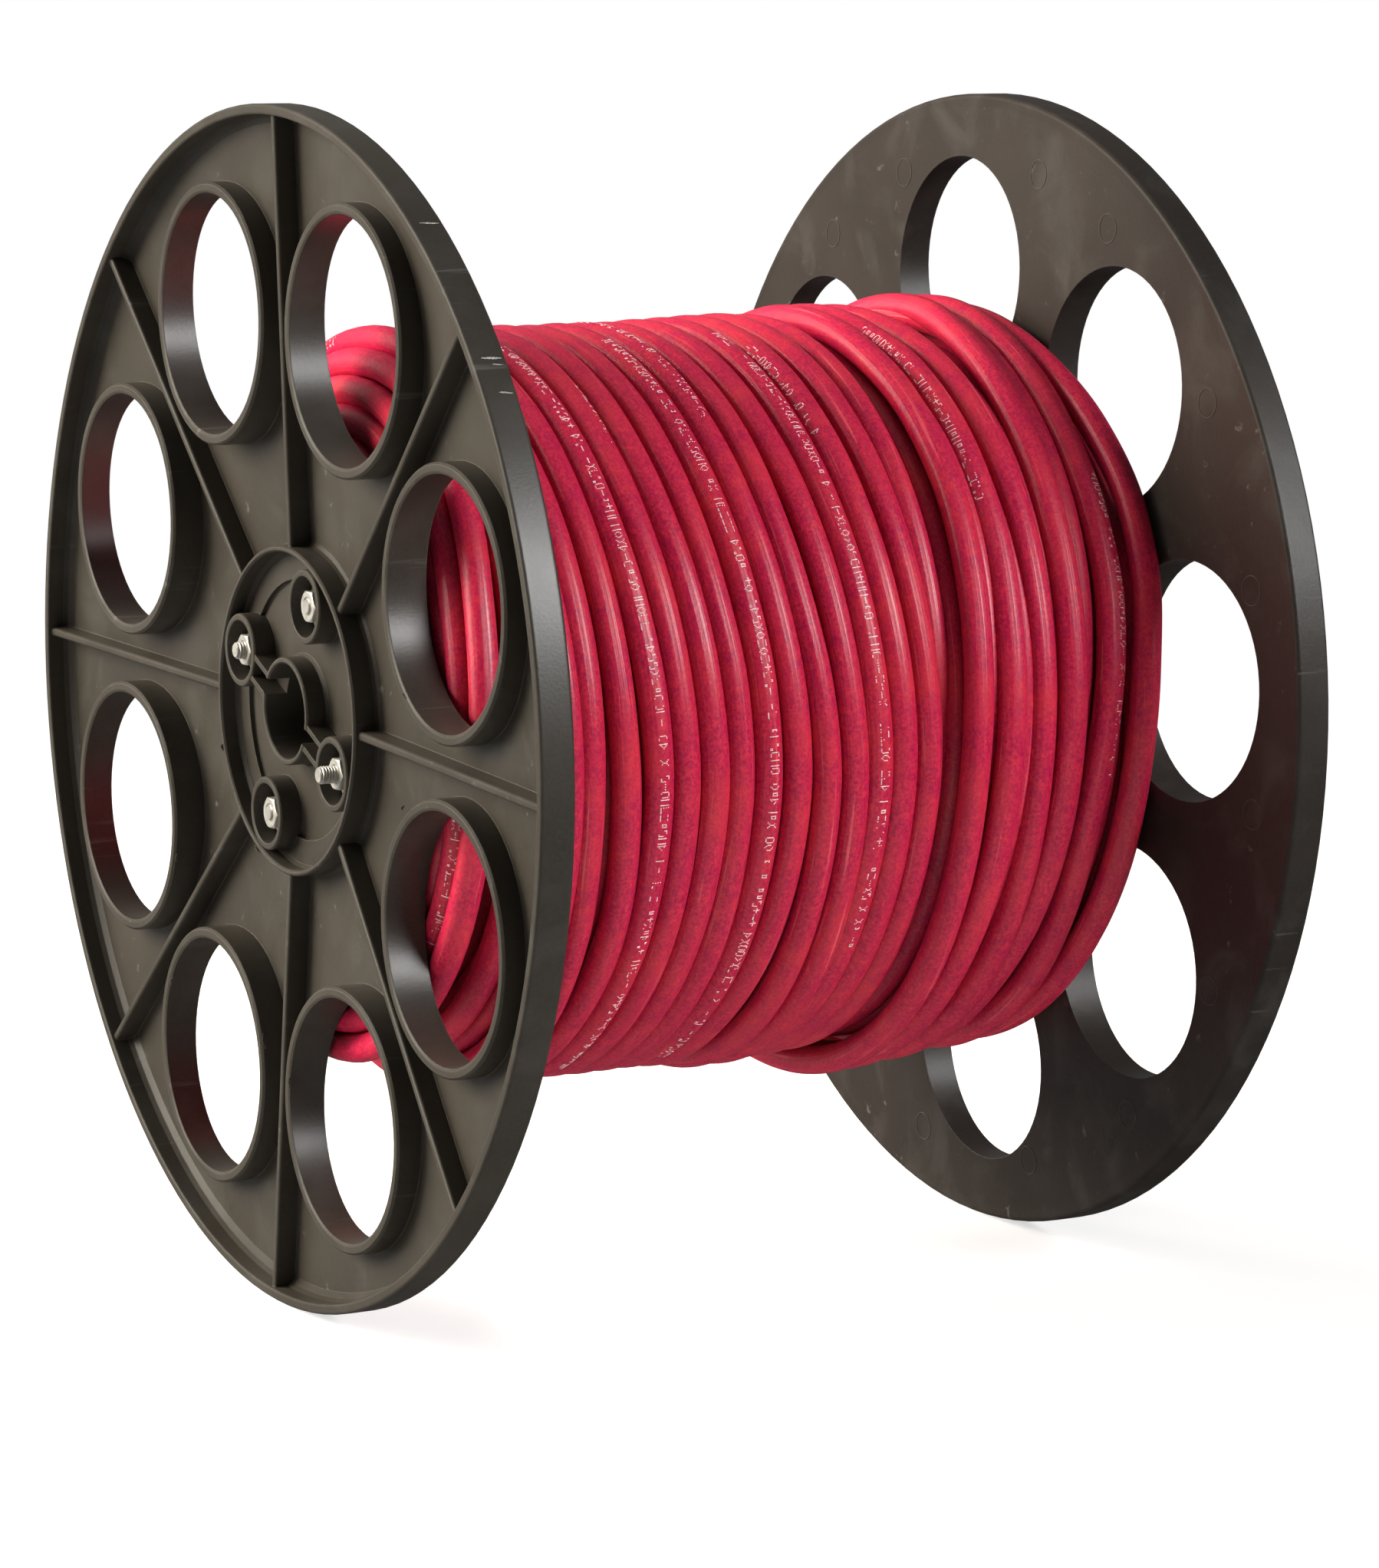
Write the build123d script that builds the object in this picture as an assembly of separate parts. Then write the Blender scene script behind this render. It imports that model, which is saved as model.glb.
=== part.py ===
from build123d import *
import math
import os

# Two-flange cable spool, wound with round sheathed cable.
#
# Frame: the spool axis is X, +Z is up, the origin is on the axis half way
# between the two flanges.  Each flange is described in its own local frame,
# where the local Z runs along the spool axis from the outer rim plane
# (depth 0) towards the cable, and angles are counted about that axis.
# All lengths are millimetres.

# ---------------------------------------------------------------- spool
overall_width = 286.0          # outer rim plane to outer rim plane
half_width = overall_width / 2

# ---------------------------------------------------------------- flange
flange_r = 200.0               # rim outside radius
rim_wall = 3.5                 # flat land of the rim
rim_depth = 12.0               # outer plane to cable-side edge at the rim
web_depth_rim = 9.0            # outer plane to web, beside the rim wall
web_t = 3.0                    # thickness of the web
dish_start_r = 194.0           # the web is dished from here ...
dish_end_r = 62.0              # ... to here
dish_k = 0.0437                # inward slope of the dished web

hub_face = 5.8                 # depth of the hub ring's free edge
hub_ring_ro = 55.0
hub_ring_ri = 53.0
hub_step_r = 43.5              # raised outer land of the hub floor
hub_land_depth = 12.3
hub_floor_depth = 13.8         # nut seats and hub floor
hub_back_depth = 17.9          # cable-side face of the hub
spigot_ro = 56.0               # locating ring inside the barrel
spigot_ri = 52.8
spigot_len = 8.0

bore_r = 16.0                  # arbor bore
bore_wall = 2.0
bore_back_wall = 3.0
bore_end_depth = 34.0          # inner end of the arbor sleeve
key_w = 6.0                    # two keyways, towards two of the bosses
key_wall = 1.8

boss_pitch_r = 40.0            # four tie-rod bosses
boss_ro = 12.4
boss_ri = 10.2
rod_hole_r = 3.3

window_pitch_r = 138.0         # eight round windows
window_r = 40.5
collar_wall = 3.6
collar_face = 1.8              # depth of the collar's free edge

rib_t = 3.0                    # eight radial ribs
rib_below_land = 1.5           # rib top under the rim plane, at the rim
rib_below_hub = 1.7            # rib top under the hub ring's edge

# clocking, in degrees about the axis from +Z towards +Y
left_window_angle = 21.0
right_window_angle = 3.9
boss_angle = -24.0
key_angles = (66.0, 246.0)

# ---------------------------------------------------------------- barrel
barrel_ro = 60.0
barrel_t = 3.6

# ---------------------------------------------------------------- cable
cable_d = 10.2
pack_full_r = 126.5            # outside of the last complete layer
pack_outer_r = 135.0           # outside of the part layer on top
part_layer_x = 45.0            # where the part layer starts
pack_gap = 0.4                 # to the dished webs

# ---------------------------------------------------------------- hardware
rod_d = 5.96                   # M6 tie rod, over the thread crests
nut_af = 10.0                  # M6 hexagon nut
nut_h = 5.0
nut_bore_r = 3.02
washer_r = 9.0                 # large M6 washer
washer_t = 1.6
washer_bore_r = 3.2
rod_len = 278.0
# how far each rod stands out of its left-hand nut
rod_stand_out = (0.5, 3.0, 0.5, 6.0)


def pol(r, a_deg):
    """Point at radius r and angle a in the local XY plane."""
    a = math.radians(a_deg)
    return r * math.cos(a), r * math.sin(a)


def web_face(r):
    """Depth of the web's outer face at radius r."""
    return web_depth_rim + (dish_start_r - r) * dish_k


def cable_face(r):
    """Depth of the web's cable-side face at radius r."""
    return web_face(r) + web_t


def revolve_profile(points):
    """Solid of revolution about local Z from a closed (r, depth) outline."""
    face = make_face(Plane.XZ * Polyline(*points, close=True))
    return revolve(face, Axis.Z, 360)


def arc_pts(cx, cy, rad, a0, a1, n=5):
    """Points on a small arc, used to round the profile's free edges."""
    return [(cx + rad * math.cos(math.radians(a0 + (a1 - a0) * i / n)),
             cy + rad * math.sin(math.radians(a0 + (a1 - a0) * i / n)))
            for i in range(n + 1)]


def flange(window_deg, boss_deg, key_degs):
    """One moulded flange in its local frame; angles are local."""
    land_ri = flange_r - rim_wall
    # ---- body of revolution: rim, dished web, hub ring, hub floor, spigot
    pts = []
    # rim land, inner edge then outer edge, both rounded
    pts += arc_pts(land_ri + 0.8, 0.8, 0.8, 180, 270, 3)
    pts += arc_pts(flange_r - 1.0, 1.0, 1.0, 270, 360, 4)
    # cable-side edge of the rim
    pts += arc_pts(flange_r - 1.6, rim_depth - 1.6, 1.6, 0, 90, 5)
    pts += [(dish_start_r + 1.5, cable_face(dish_start_r))]
    pts += [(dish_end_r, cable_face(dish_end_r))]
    # flat seat for the barrel, then the locating spigot
    pts += [(dish_end_r - 0.8, hub_back_depth), (spigot_ro, hub_back_depth),
            (spigot_ro, hub_back_depth + spigot_len - 1.0),
            (spigot_ro - 1.0, hub_back_depth + spigot_len),
            (spigot_ri, hub_back_depth + spigot_len),
            (spigot_ri, hub_back_depth)]
    # arbor sleeve on the cable side
    back_ro = bore_r + bore_back_wall
    pts += [(back_ro, hub_back_depth), (back_ro, bore_end_depth - 0.8),
            (back_ro - 0.8, bore_end_depth), (bore_r, bore_end_depth)]
    # bore, up to the rounded lip on the outer side
    pts += [(bore_r, hub_face + 0.6)]
    pts += [(bore_r + 0.5, hub_face), (bore_r + bore_wall - 0.5, hub_face)]
    pts += [(bore_r + bore_wall, hub_face + 0.6),
            (bore_r + bore_wall, hub_floor_depth - 1.0),
            (bore_r + bore_wall + 1.0, hub_floor_depth)]
    # hub floor, step up to the outer land, hub ring
    pts += [(hub_step_r, hub_floor_depth), (hub_step_r, hub_land_depth),
            (hub_ring_ri - 1.0, hub_land_depth), (hub_ring_ri, hub_land_depth - 1.0)]
    pts += [(hub_ring_ri, hub_face + 0.7), (hub_ring_ri + 0.6, hub_face),
            (hub_ring_ro - 0.6, hub_face), (hub_ring_ro, hub_face + 0.7)]
    wf = web_face(hub_ring_ro + 1.6)
    pts += [(hub_ring_ro, wf - 1.6), (hub_ring_ro + 0.5, wf - 0.5), (hub_ring_ro + 1.8, wf)]
    # dished web out to the rim, with the chamfered foot of the rim wall
    pts += [(land_ri - 2.8, web_face(land_ri - 2.8)),
            (land_ri - 0.9, web_face(land_ri) - 1.4),
            (land_ri, web_face(land_ri) - 2.9)]
    body = revolve_profile(pts)

    # ---- collars round the windows, reaching into the web
    co = window_r + collar_wall
    collar_pts = [(window_r - 1.0, collar_face + 3.0), (window_r - 1.0, collar_face + 0.9),
                  (window_r + 0.9, collar_face), (co - 0.8, collar_face),
                  (co, collar_face + 0.8)]
    foot = web_face(window_pitch_r - co) + 2.0   # below the deepest web under the collar
    collar_pts += [(co, foot), (window_r - 1.0, foot)]
    collar = revolve_profile(collar_pts)
    # the collars stop inside the web: everything past its middle is trimmed off their feet
    mid = web_t / 2
    past_web = revolve_profile([(dish_end_r, web_face(dish_end_r) + mid), (flange_r, web_face(flange_r) + mid),
                                (flange_r, foot + 5.0), (dish_end_r, foot + 5.0)])
    for i in range(8):
        x, y = pol(window_pitch_r, window_deg + 45 * i)
        body += Pos(x, y, 0) * collar - past_web

    # ---- ribs, from the hub ring to the rim wall, with a rounded crest
    r0, r1 = hub_ring_ro - 1.0, land_ri + 1.0
    top0 = hub_face + rib_below_hub
    top1 = rib_below_land
    crest = [(-rib_t / 2 - 0.35, 0), (-rib_t / 2, 0)]
    side = make_face(Plane.XZ * Polyline((r0, top0), (r1, top1),
                                         (r1, web_face(r1) + 1.2), (r0, web_face(r0) + 1.2),
                                         close=True))
    rib = extrude(side, rib_t / 2, both=True)
    crest_edges = rib.edges().filter_by(lambda e: abs(e.center().Y) > rib_t / 2 - 0.01
                                        and e.length > 100).sort_by(Axis.Z)[:2]
    rib = fillet(crest_edges, 1.1)
    for i in range(8):
        body += Rot(0, 0, window_deg + 22.5 + 45 * i) * rib

    # ---- tie-rod bosses and the keyway walls in the hub
    boss = revolve_profile([(boss_ri - 1.0, hub_face + 0.5), (boss_ri + 0.4, hub_face),
                            (boss_ro - 0.5, hub_face), (boss_ro, hub_face + 0.6),
                            (boss_ro, hub_floor_depth + 1.0), (boss_ri - 1.0, hub_floor_depth + 1.0)])
    for k in range(4):
        x, y = pol(boss_pitch_r, boss_deg + 90 * k)
        body += Pos(x, y, 0) * boss
    wall_h = hub_floor_depth - hub_face + 0.6
    for a in key_degs:
        for s in (-1, 1):
            w = Pos((bore_r + 1.0 + boss_pitch_r - boss_ri - 1.0) / 2,
                    s * (key_w + key_wall) / 2, hub_face + 0.3 + wall_h / 2) * \
                Box(boss_pitch_r - boss_ri - bore_r - 2.0, key_wall, wall_h)
            body += Rot(0, 0, a) * w

    # ---- cuts: windows, nut wells, rod holes, keyways
    for i in range(8):
        x, y = pol(window_pitch_r, window_deg + 45 * i)
        body -= Pos(x, y, 10) * Cylinder(window_r, 40)
    for k in range(4):
        x, y = pol(boss_pitch_r, boss_deg + 90 * k)
        body -= Pos(x, y, hub_floor_depth / 2) * Cylinder(boss_ri, hub_floor_depth)
        body -= Pos(x, y, hub_floor_depth) * Cylinder(rod_hole_r, 30)
    for a in key_degs:
        slot = Pos((boss_pitch_r - boss_ro + bore_r) / 2 - 1.5, 0,
                   (hub_floor_depth + hub_face - 2.0) / 2) * \
            Box(boss_pitch_r - boss_ro - bore_r + 3.6, key_w, hub_floor_depth - hub_face + 2.0)
        body -= Rot(0, 0, a) * slot
    return body


def place_left(obj):
    """Local depth runs to +X; local angle is minus the spool angle."""
    return Plane(origin=(-half_width, 0, 0), x_dir=(0, 0, 1), z_dir=(1, 0, 0)) * obj


def place_right(obj):
    """Local depth runs to -X; local angle is the spool angle."""
    return Plane(origin=(half_width, 0, 0), x_dir=(0, 0, 1), z_dir=(-1, 0, 0)) * obj


def along_x(x0, x1, a_deg, obj_fn):
    """Place an object built on local Z from x0 towards x1 at a boss."""
    a = math.radians(a_deg)
    y, z = boss_pitch_r * math.sin(a), boss_pitch_r * math.cos(a)
    d = 1 if x1 > x0 else -1
    return Plane(origin=(x0, y, z), x_dir=(0, 1, 0), z_dir=(d, 0, 0)) * obj_fn(abs(x1 - x0))


def rod(length):
    c = 0.7
    r = rod_d / 2
    return revolve_profile([(0, 0), (r - c, 0), (r, c), (r, length - c), (r - c, length), (0, length)])


def washer(length):
    return revolve_profile([(washer_bore_r, 0), (washer_r - 0.15, 0), (washer_r, 0.15),
                            (washer_r, length - 0.25), (washer_r - 0.25, length), (washer_bore_r, length)])


def nut(length):
    """Hexagon nut, corners along local X, both faces chamfered at 30 degrees."""
    e = nut_af / math.cos(math.radians(30)) / 2
    body = extrude(RegularPolygon(e, 6), length)
    t = (e - nut_af / 2 + 0.15) * math.tan(math.radians(30))
    turn = revolve_profile([(0, 0), (nut_af / 2 - 0.15, 0), (e, t), (e, length - t),
                            (nut_af / 2 - 0.15, length), (0, length)])
    body = body & turn
    bore = revolve_profile([(0, -1), (nut_bore_r + 0.9, -1), (nut_bore_r + 0.45, 0), (nut_bore_r, 0.45),
                            (nut_bore_r, length - 0.45), (nut_bore_r + 0.45, length),
                            (nut_bore_r + 0.9, length + 1), (0, length + 1)])
    return body - bore


nodes = {}

# flanges; the local angle is mirrored on the left one
nodes["left_flange"] = place_left(
    flange(-left_window_angle, -boss_angle, [-a for a in key_angles]))
nodes["right_flange"] = place_right(
    flange(right_window_angle, boss_angle, list(key_angles)))

# barrel: plain tube clamped between the hub seats of the flanges
barrel_end = half_width - hub_back_depth
nodes["barrel"] = Rot(0, 90, 0) * (Cylinder(barrel_ro, 2 * barrel_end)
                                   - Cylinder(barrel_ro - barrel_t, 2 * barrel_end + 2))

# wound cable: outer shape of the whole winding, complete layers and part layer
xi = half_width - cable_face(dish_end_r) - pack_gap
xf = half_width - cable_face(pack_full_r) - pack_gap
x_mid = half_width - cable_face((pack_full_r + pack_outer_r) / 2) - pack_gap
pack_face = make_face(Plane.XZ * Polyline(
    (-xi, barrel_ro), (-xf, pack_full_r - 5.0), (-xf + 4.0, pack_full_r),
    (part_layer_x, pack_full_r), (part_layer_x + 5.0, pack_outer_r),
    (xf - 14.0, pack_outer_r), (xf - 4.0, pack_full_r), (xf, pack_full_r - 8.0),
    (xi, barrel_ro), close=True))
nodes["cable_winding"] = revolve(pack_face, Axis.X, 360)

# tie rods, washers and nuts
seat_x = half_width - hub_floor_depth
nut_out_x = seat_x - 0 + washer_t + nut_h
for k in range(4):
    a = boss_angle + 90 * k
    x_left = -(nut_out_x + rod_stand_out[k])
    nodes["tie_rod_%d" % (k + 1)] = along_x(x_left, x_left + rod_len, a, rod)
    nodes["washer_left_%d" % (k + 1)] = along_x(-seat_x, -seat_x - washer_t, a, washer)
    nodes["washer_right_%d" % (k + 1)] = along_x(seat_x, seat_x + washer_t, a, washer)
    nodes["nut_left_%d" % (k + 1)] = along_x(-seat_x - washer_t, -seat_x - washer_t - nut_h, a, nut)
    nodes["nut_right_%d" % (k + 1)] = along_x(seat_x + washer_t, seat_x + washer_t + nut_h, a, nut)

os.makedirs("parts", exist_ok=True)
for name, shape in nodes.items():
    solids = shape.solids()
    out = solids[0] if len(solids) == 1 else Compound(children=list(solids))
    export_step(out, "parts/%s.step" % name)
    print(name, len(solids), round(out.volume, 1))
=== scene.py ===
import bpy
import bmesh
import math
import numpy as np
from mathutils import Matrix, Vector


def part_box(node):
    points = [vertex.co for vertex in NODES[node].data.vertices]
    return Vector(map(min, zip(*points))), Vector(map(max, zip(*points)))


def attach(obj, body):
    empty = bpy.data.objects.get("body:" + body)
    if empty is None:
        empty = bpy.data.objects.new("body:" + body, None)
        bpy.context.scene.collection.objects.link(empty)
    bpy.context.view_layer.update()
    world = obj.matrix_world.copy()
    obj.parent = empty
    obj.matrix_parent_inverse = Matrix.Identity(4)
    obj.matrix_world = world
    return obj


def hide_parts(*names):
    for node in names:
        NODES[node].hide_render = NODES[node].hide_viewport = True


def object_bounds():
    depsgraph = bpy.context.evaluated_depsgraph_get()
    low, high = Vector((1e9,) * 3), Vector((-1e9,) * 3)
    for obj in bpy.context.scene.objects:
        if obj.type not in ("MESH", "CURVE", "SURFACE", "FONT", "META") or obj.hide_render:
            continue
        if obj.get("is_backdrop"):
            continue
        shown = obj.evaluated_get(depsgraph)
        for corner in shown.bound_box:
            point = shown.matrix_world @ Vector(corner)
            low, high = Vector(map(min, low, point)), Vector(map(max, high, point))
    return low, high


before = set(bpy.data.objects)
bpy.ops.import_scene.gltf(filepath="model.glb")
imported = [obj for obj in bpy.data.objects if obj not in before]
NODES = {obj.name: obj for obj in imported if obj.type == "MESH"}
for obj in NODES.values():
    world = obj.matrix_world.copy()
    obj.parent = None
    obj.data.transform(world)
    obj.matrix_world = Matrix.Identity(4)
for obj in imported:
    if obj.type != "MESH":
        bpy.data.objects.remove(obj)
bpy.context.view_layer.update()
MM = 0.001

# ---------------------------------------------------------------- camera
cam_data = bpy.data.cameras.new("camera")
cam = bpy.data.objects.new("camera", cam_data)
bpy.context.scene.collection.objects.link(cam)
right = Vector((0.87925, -0.47636, 0.0))
up = Vector((0.07316, 0.13504, 0.98814))
back = right.cross(up)
cam.matrix_world = Matrix((
    (right.x, up.x, back.x, -0.84585),
    (right.y, up.y, back.y, -1.59019),
    (right.z, up.z, back.z, 0.24540),
    (0, 0, 0, 1)))
cam_data.lens = 121.38
cam_data.sensor_width = 36.0
cam_data.sensor_fit = "AUTO"
cam_data.clip_start, cam_data.clip_end = 0.05, 60
bpy.context.scene.camera = cam
bpy.context.scene.view_settings.view_transform = "Standard"


# ---------------------------------------------------------------- node helpers
def new_mat(name):
    m = bpy.data.materials.new(name)
    m.use_nodes = True
    nt = m.node_tree
    nt.nodes.clear()
    out = nt.nodes.new("ShaderNodeOutputMaterial")
    p = nt.nodes.new("ShaderNodeBsdfPrincipled")
    nt.links.new(p.outputs[0], out.inputs["Surface"])
    return m, nt, p


def coords(nt, kind="Object"):
    return nt.nodes.new("ShaderNodeTexCoord").outputs[kind]


def mapped(nt, vec, scale=(1, 1, 1), rot=(0, 0, 0), loc=(0, 0, 0)):
    n = nt.nodes.new("ShaderNodeMapping")
    n.inputs["Scale"].default_value = scale
    n.inputs["Rotation"].default_value = rot
    n.inputs["Location"].default_value = loc
    nt.links.new(vec, n.inputs["Vector"])
    return n.outputs[0]


def noise(nt, vec, scale, detail=3.0, rough=0.5, dist=0.0):
    n = nt.nodes.new("ShaderNodeTexNoise")
    n.inputs["Scale"].default_value = scale
    n.inputs["Detail"].default_value = detail
    n.inputs["Roughness"].default_value = rough
    n.inputs["Distortion"].default_value = dist
    nt.links.new(vec, n.inputs["Vector"])
    return n.outputs["Fac"]


def ramp(nt, fac, stops, mode="LINEAR"):
    n = nt.nodes.new("ShaderNodeValToRGB")
    n.color_ramp.interpolation = mode
    e = n.color_ramp.elements
    while len(e) < len(stops):
        e.new(0.5)
    for i, (pos, col) in enumerate(stops):
        e[i].position = pos
        e[i].color = col if len(col) == 4 else (*col, 1)
    nt.links.new(fac, n.inputs[0])
    return n.outputs[0]


def span(nt, fac, a, b, lo=0.0, hi=1.0):
    n = nt.nodes.new("ShaderNodeMapRange")
    for k, v in zip(("From Min", "From Max", "To Min", "To Max"), (a, b, lo, hi)):
        n.inputs[k].default_value = v
    nt.links.new(fac, n.inputs["Value"])
    return n.outputs[0]


def math_(nt, op, a, b=None, clamp=False):
    n = nt.nodes.new("ShaderNodeMath")
    n.operation = op
    n.use_clamp = clamp
    for i, v in enumerate((a, b)):
        if v is None:
            continue
        if isinstance(v, (int, float)):
            n.inputs[i].default_value = v
        else:
            nt.links.new(v, n.inputs[i])
    return n.outputs[0]


def mix(nt, fac, a, b, kind="MIX"):
    n = nt.nodes.new("ShaderNodeMix")
    n.data_type = "RGBA"
    n.blend_type = kind
    if isinstance(fac, (int, float)):
        n.inputs[0].default_value = fac
    else:
        nt.links.new(fac, n.inputs[0])
    for s, v in ((6, a), (7, b)):
        if isinstance(v, tuple):
            n.inputs[s].default_value = v if len(v) == 4 else (*v, 1)
        else:
            nt.links.new(v, n.inputs[s])
    return n.outputs[2]


def bump(nt, p, height, strength, dist, normal=None):
    n = nt.nodes.new("ShaderNodeBump")
    n.inputs["Strength"].default_value = strength
    n.inputs["Distance"].default_value = dist
    nt.links.new(height, n.inputs["Height"])
    if normal is not None:
        nt.links.new(normal, n.inputs["Normal"])
    nt.links.new(n.outputs[0], p.inputs["Normal"])
    return n.outputs[0]


# ---------------------------------------------------------------- materials
def black_plastic(name, seed, base=(0.0262, 0.0228, 0.0183), shine=0.34, rough=0.31):
    m, nt, p = new_mat(name)
    vec = mapped(nt, coords(nt), loc=(seed, seed * 1.7, seed * 0.3))
    cloud = noise(nt, vec, 14, 4, 0.6)
    grain = noise(nt, vec, 900, 2, 0.6)
    bev = nt.nodes.new("ShaderNodeBevel")
    bev.samples = 4
    bev.inputs["Radius"].default_value = 0.0005
    geo = nt.nodes.new("ShaderNodeNewGeometry")
    dot = nt.nodes.new("ShaderNodeVectorMath")
    dot.operation = "DOT_PRODUCT"
    nt.links.new(bev.outputs[0], dot.inputs[0])
    nt.links.new(geo.outputs["Normal"], dot.inputs[1])
    # edge mask from the difference between the bevel normal and the true normal; it drives the painted highlight on the
    # edges below
    painted_edge_highlight = span(nt, dot.outputs["Value"], 0.995, 0.80)
    col = mix(nt, span(nt, cloud, 0.3, 0.7), tuple(c * 0.82 for c in base), tuple(c * 1.22 for c in base))
    col = mix(nt, span(nt, grain, 0.35, 0.65, 0.0, 0.35), col, tuple(c * 1.5 for c in base))
    # painted highlight: rounded edges are lightened in colour towards pale grey-brown, as if catching the light
    col = mix(nt, math_(nt, "MULTIPLY", painted_edge_highlight, 0.6), col, (0.125, 0.118, 0.100))
    # dust and handling smudges, soft and low in contrast
    dust = noise(nt, mapped(nt, vec, loc=(2.0, 5.0, 1.0)), 34, 6, 0.62, 0.6)
    col = mix(nt, span(nt, dust, 0.50, 0.74, 0.0, 0.42), col, (0.052, 0.049, 0.044))
    # long faint scuffs round the spool
    streak = noise(nt, mapped(nt, vec, scale=(9, 160, 160), rot=(0.3, 0.1, 0.6)), 1.0, 3, 0.7)
    scuff = span(nt, streak, 0.66, 0.74)
    col = mix(nt, math_(nt, "MULTIPLY", scuff, 0.35), col, (0.12, 0.115, 0.10))
    nt.links.new(col, p.inputs["Base Color"])
    rg = span(nt, cloud, 0.25, 0.75, rough, rough + 0.13)
    rg = math_(nt, "ADD", rg, math_(nt, "MULTIPLY", scuff, 0.12))
    nt.links.new(rg, p.inputs["Roughness"])
    p.inputs["IOR"].default_value = 1.5
    p.inputs["Specular IOR Level"].default_value = shine
    bump(nt, p, math_(nt, "ADD", grain, math_(nt, "MULTIPLY", cloud, 2.0)), 0.12, 0.0003, bev.outputs[0])
    return m


def sheath(name):
    m, nt, p = new_mat(name)
    uv = coords(nt, "UV")      # x runs along the cable in metres, y once round it
    obj = coords(nt)
    big = noise(nt, obj, 45, 3, 0.6)
    fine = noise(nt, obj, 900, 3, 0.7)
    mott = noise(nt, mapped(nt, obj, loc=(3, 1, 7)), 260, 3, 0.65)
    along = noise(nt, mapped(nt, uv, scale=(16, 19, 1)), 1.0, 3, 0.6)
    col = mix(nt, span(nt, mott, 0.3, 0.7), (0.430, 0.0095, 0.050), (0.545, 0.022, 0.044))
    col = mix(nt, span(nt, fine, 0.38, 0.62, 0, 0.92), col, (0.262, 0.003, 0.040))
    col = mix(nt, span(nt, big, 0.45, 0.7, 0, 0.35), col, (0.56, 0.034, 0.036))
    # pale streaks along the cable, lighter in colour: partly light scuffs and partly painted highlight streaks
    col = mix(nt, span(nt, along, 0.62, 0.70, 0, 0.42), col, (0.70, 0.13, 0.13))
    nt.links.new(col, p.inputs["Base Color"])
    nt.links.new(span(nt, along, 0.3, 0.7, 0.30, 0.41), p.inputs["Roughness"])
    p.inputs["IOR"].default_value = 1.5
    p.inputs["Specular IOR Level"].default_value = 0.36
    ridge = noise(nt, mapped(nt, uv, scale=(5, 34, 1), loc=(4, 0, 2)), 1.0, 2, 0.5)
    h = math_(nt, "ADD", fine, math_(nt, "MULTIPLY", ridge, 2.2))
    bump(nt, p, h, 0.22, 0.0003)
    return m


def metal(name, base, rough, seed):
    m, nt, p = new_mat(name)
    vec = mapped(nt, coords(nt), loc=(seed, 0, seed))
    cloud = noise(nt, vec, 420, 3, 0.6)
    fine = noise(nt, vec, 2600, 2, 0.6)
    col = mix(nt, span(nt, cloud, 0.3, 0.7), tuple(c * 0.8 for c in base), base)
    nt.links.new(col, p.inputs["Base Color"])
    nt.links.new(span(nt, cloud, 0.3, 0.7, rough - 0.06, rough + 0.10), p.inputs["Roughness"])
    p.inputs["Metallic"].default_value = 0.86
    bump(nt, p, fine, 0.15, 0.0001)
    return m


def ink_material():
    m, nt, p = new_mat("print_ink")
    wear = noise(nt, coords(nt), 700, 3, 0.7)
    nt.links.new(mix(nt, span(nt, wear, 0.38, 0.62), (0.60, 0.30, 0.33), (0.80, 0.66, 0.65)), p.inputs["Base Color"])
    p.inputs["Roughness"].default_value = 0.55
    return m


M_PLASTIC_L = black_plastic("black_plastic_near", 0.0)
# the far flange gets a darker, less shiny copy of the same black plastic: painted shade standing in for the shadow the
# winding and the near flange cast on it
M_PLASTIC_FAR_SHADED = black_plastic("black_plastic_far_shaded", 5.3, base=(0.0172, 0.0139, 0.0116), shine=0.26, rough=0.36)
M_BARREL = black_plastic("barrel_plastic", 2.1)
M_SHEATH = sheath("red_sheath")
M_ROD = metal("zinc_rod", (0.84, 0.82, 0.75), 0.34, 1.0)
M_NUT = metal("zinc_nut", (0.90, 0.88, 0.81), 0.33, 4.0)
M_WASHER = metal("zinc_washer", (0.78, 0.77, 0.72), 0.36, 7.0)
M_INK = ink_material()


def pale_scuff():
    m, nt, p = new_mat("pale_scuff")
    wear = noise(nt, coords(nt), 1500, 3, 0.7)
    nt.links.new(mix(nt, span(nt, wear, 0.35, 0.65), (0.16, 0.155, 0.14), (0.52, 0.51, 0.48)), p.inputs["Base Color"])
    p.inputs["Roughness"].default_value = 0.6
    bump(nt, p, wear, 0.3, 0.0001)
    return m


M_SCUFF = pale_scuff()


def dress(obj, mat):
    for s in obj.material_slots:
        s.link = "OBJECT"
        s.material = mat


for name, o in NODES.items():
    if name == "left_flange":
        dress(o, M_PLASTIC_L)
    elif name == "right_flange":
        # the far flange takes the darker copy of the plastic, which carries painted shade
        dress(o, M_PLASTIC_FAR_SHADED)
    elif name == "barrel":
        dress(o, M_BARREL)
    elif name == "cable_winding":
        dress(o, M_SHEATH)
    elif name.startswith("tie_rod"):
        dress(o, M_ROD)
    elif name.startswith("nut"):
        dress(o, M_NUT)
    elif name.startswith("washer"):
        dress(o, M_WASHER)


def add_mesh(name, verts, faces, mat, smooth=True, uvs=None):
    me = bpy.data.meshes.new(name)
    me.from_pydata([tuple(v) for v in verts], [], [tuple(f) for f in faces])
    me.materials.append(mat)
    if uvs is not None:
        lay = me.uv_layers.new(name="UVMap")
        loops = np.empty(len(me.loops), dtype=np.int32)
        me.loops.foreach_get("vertex_index", loops)
        lay.data.foreach_set("uv", np.asarray(uvs, dtype=np.float32)[loops].ravel())
    me.polygons.foreach_set("use_smooth", np.full(len(me.polygons), smooth))
    me.validate()
    me.update()
    o = bpy.data.objects.new(name, me)
    bpy.context.scene.collection.objects.link(o)
    return o


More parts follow.
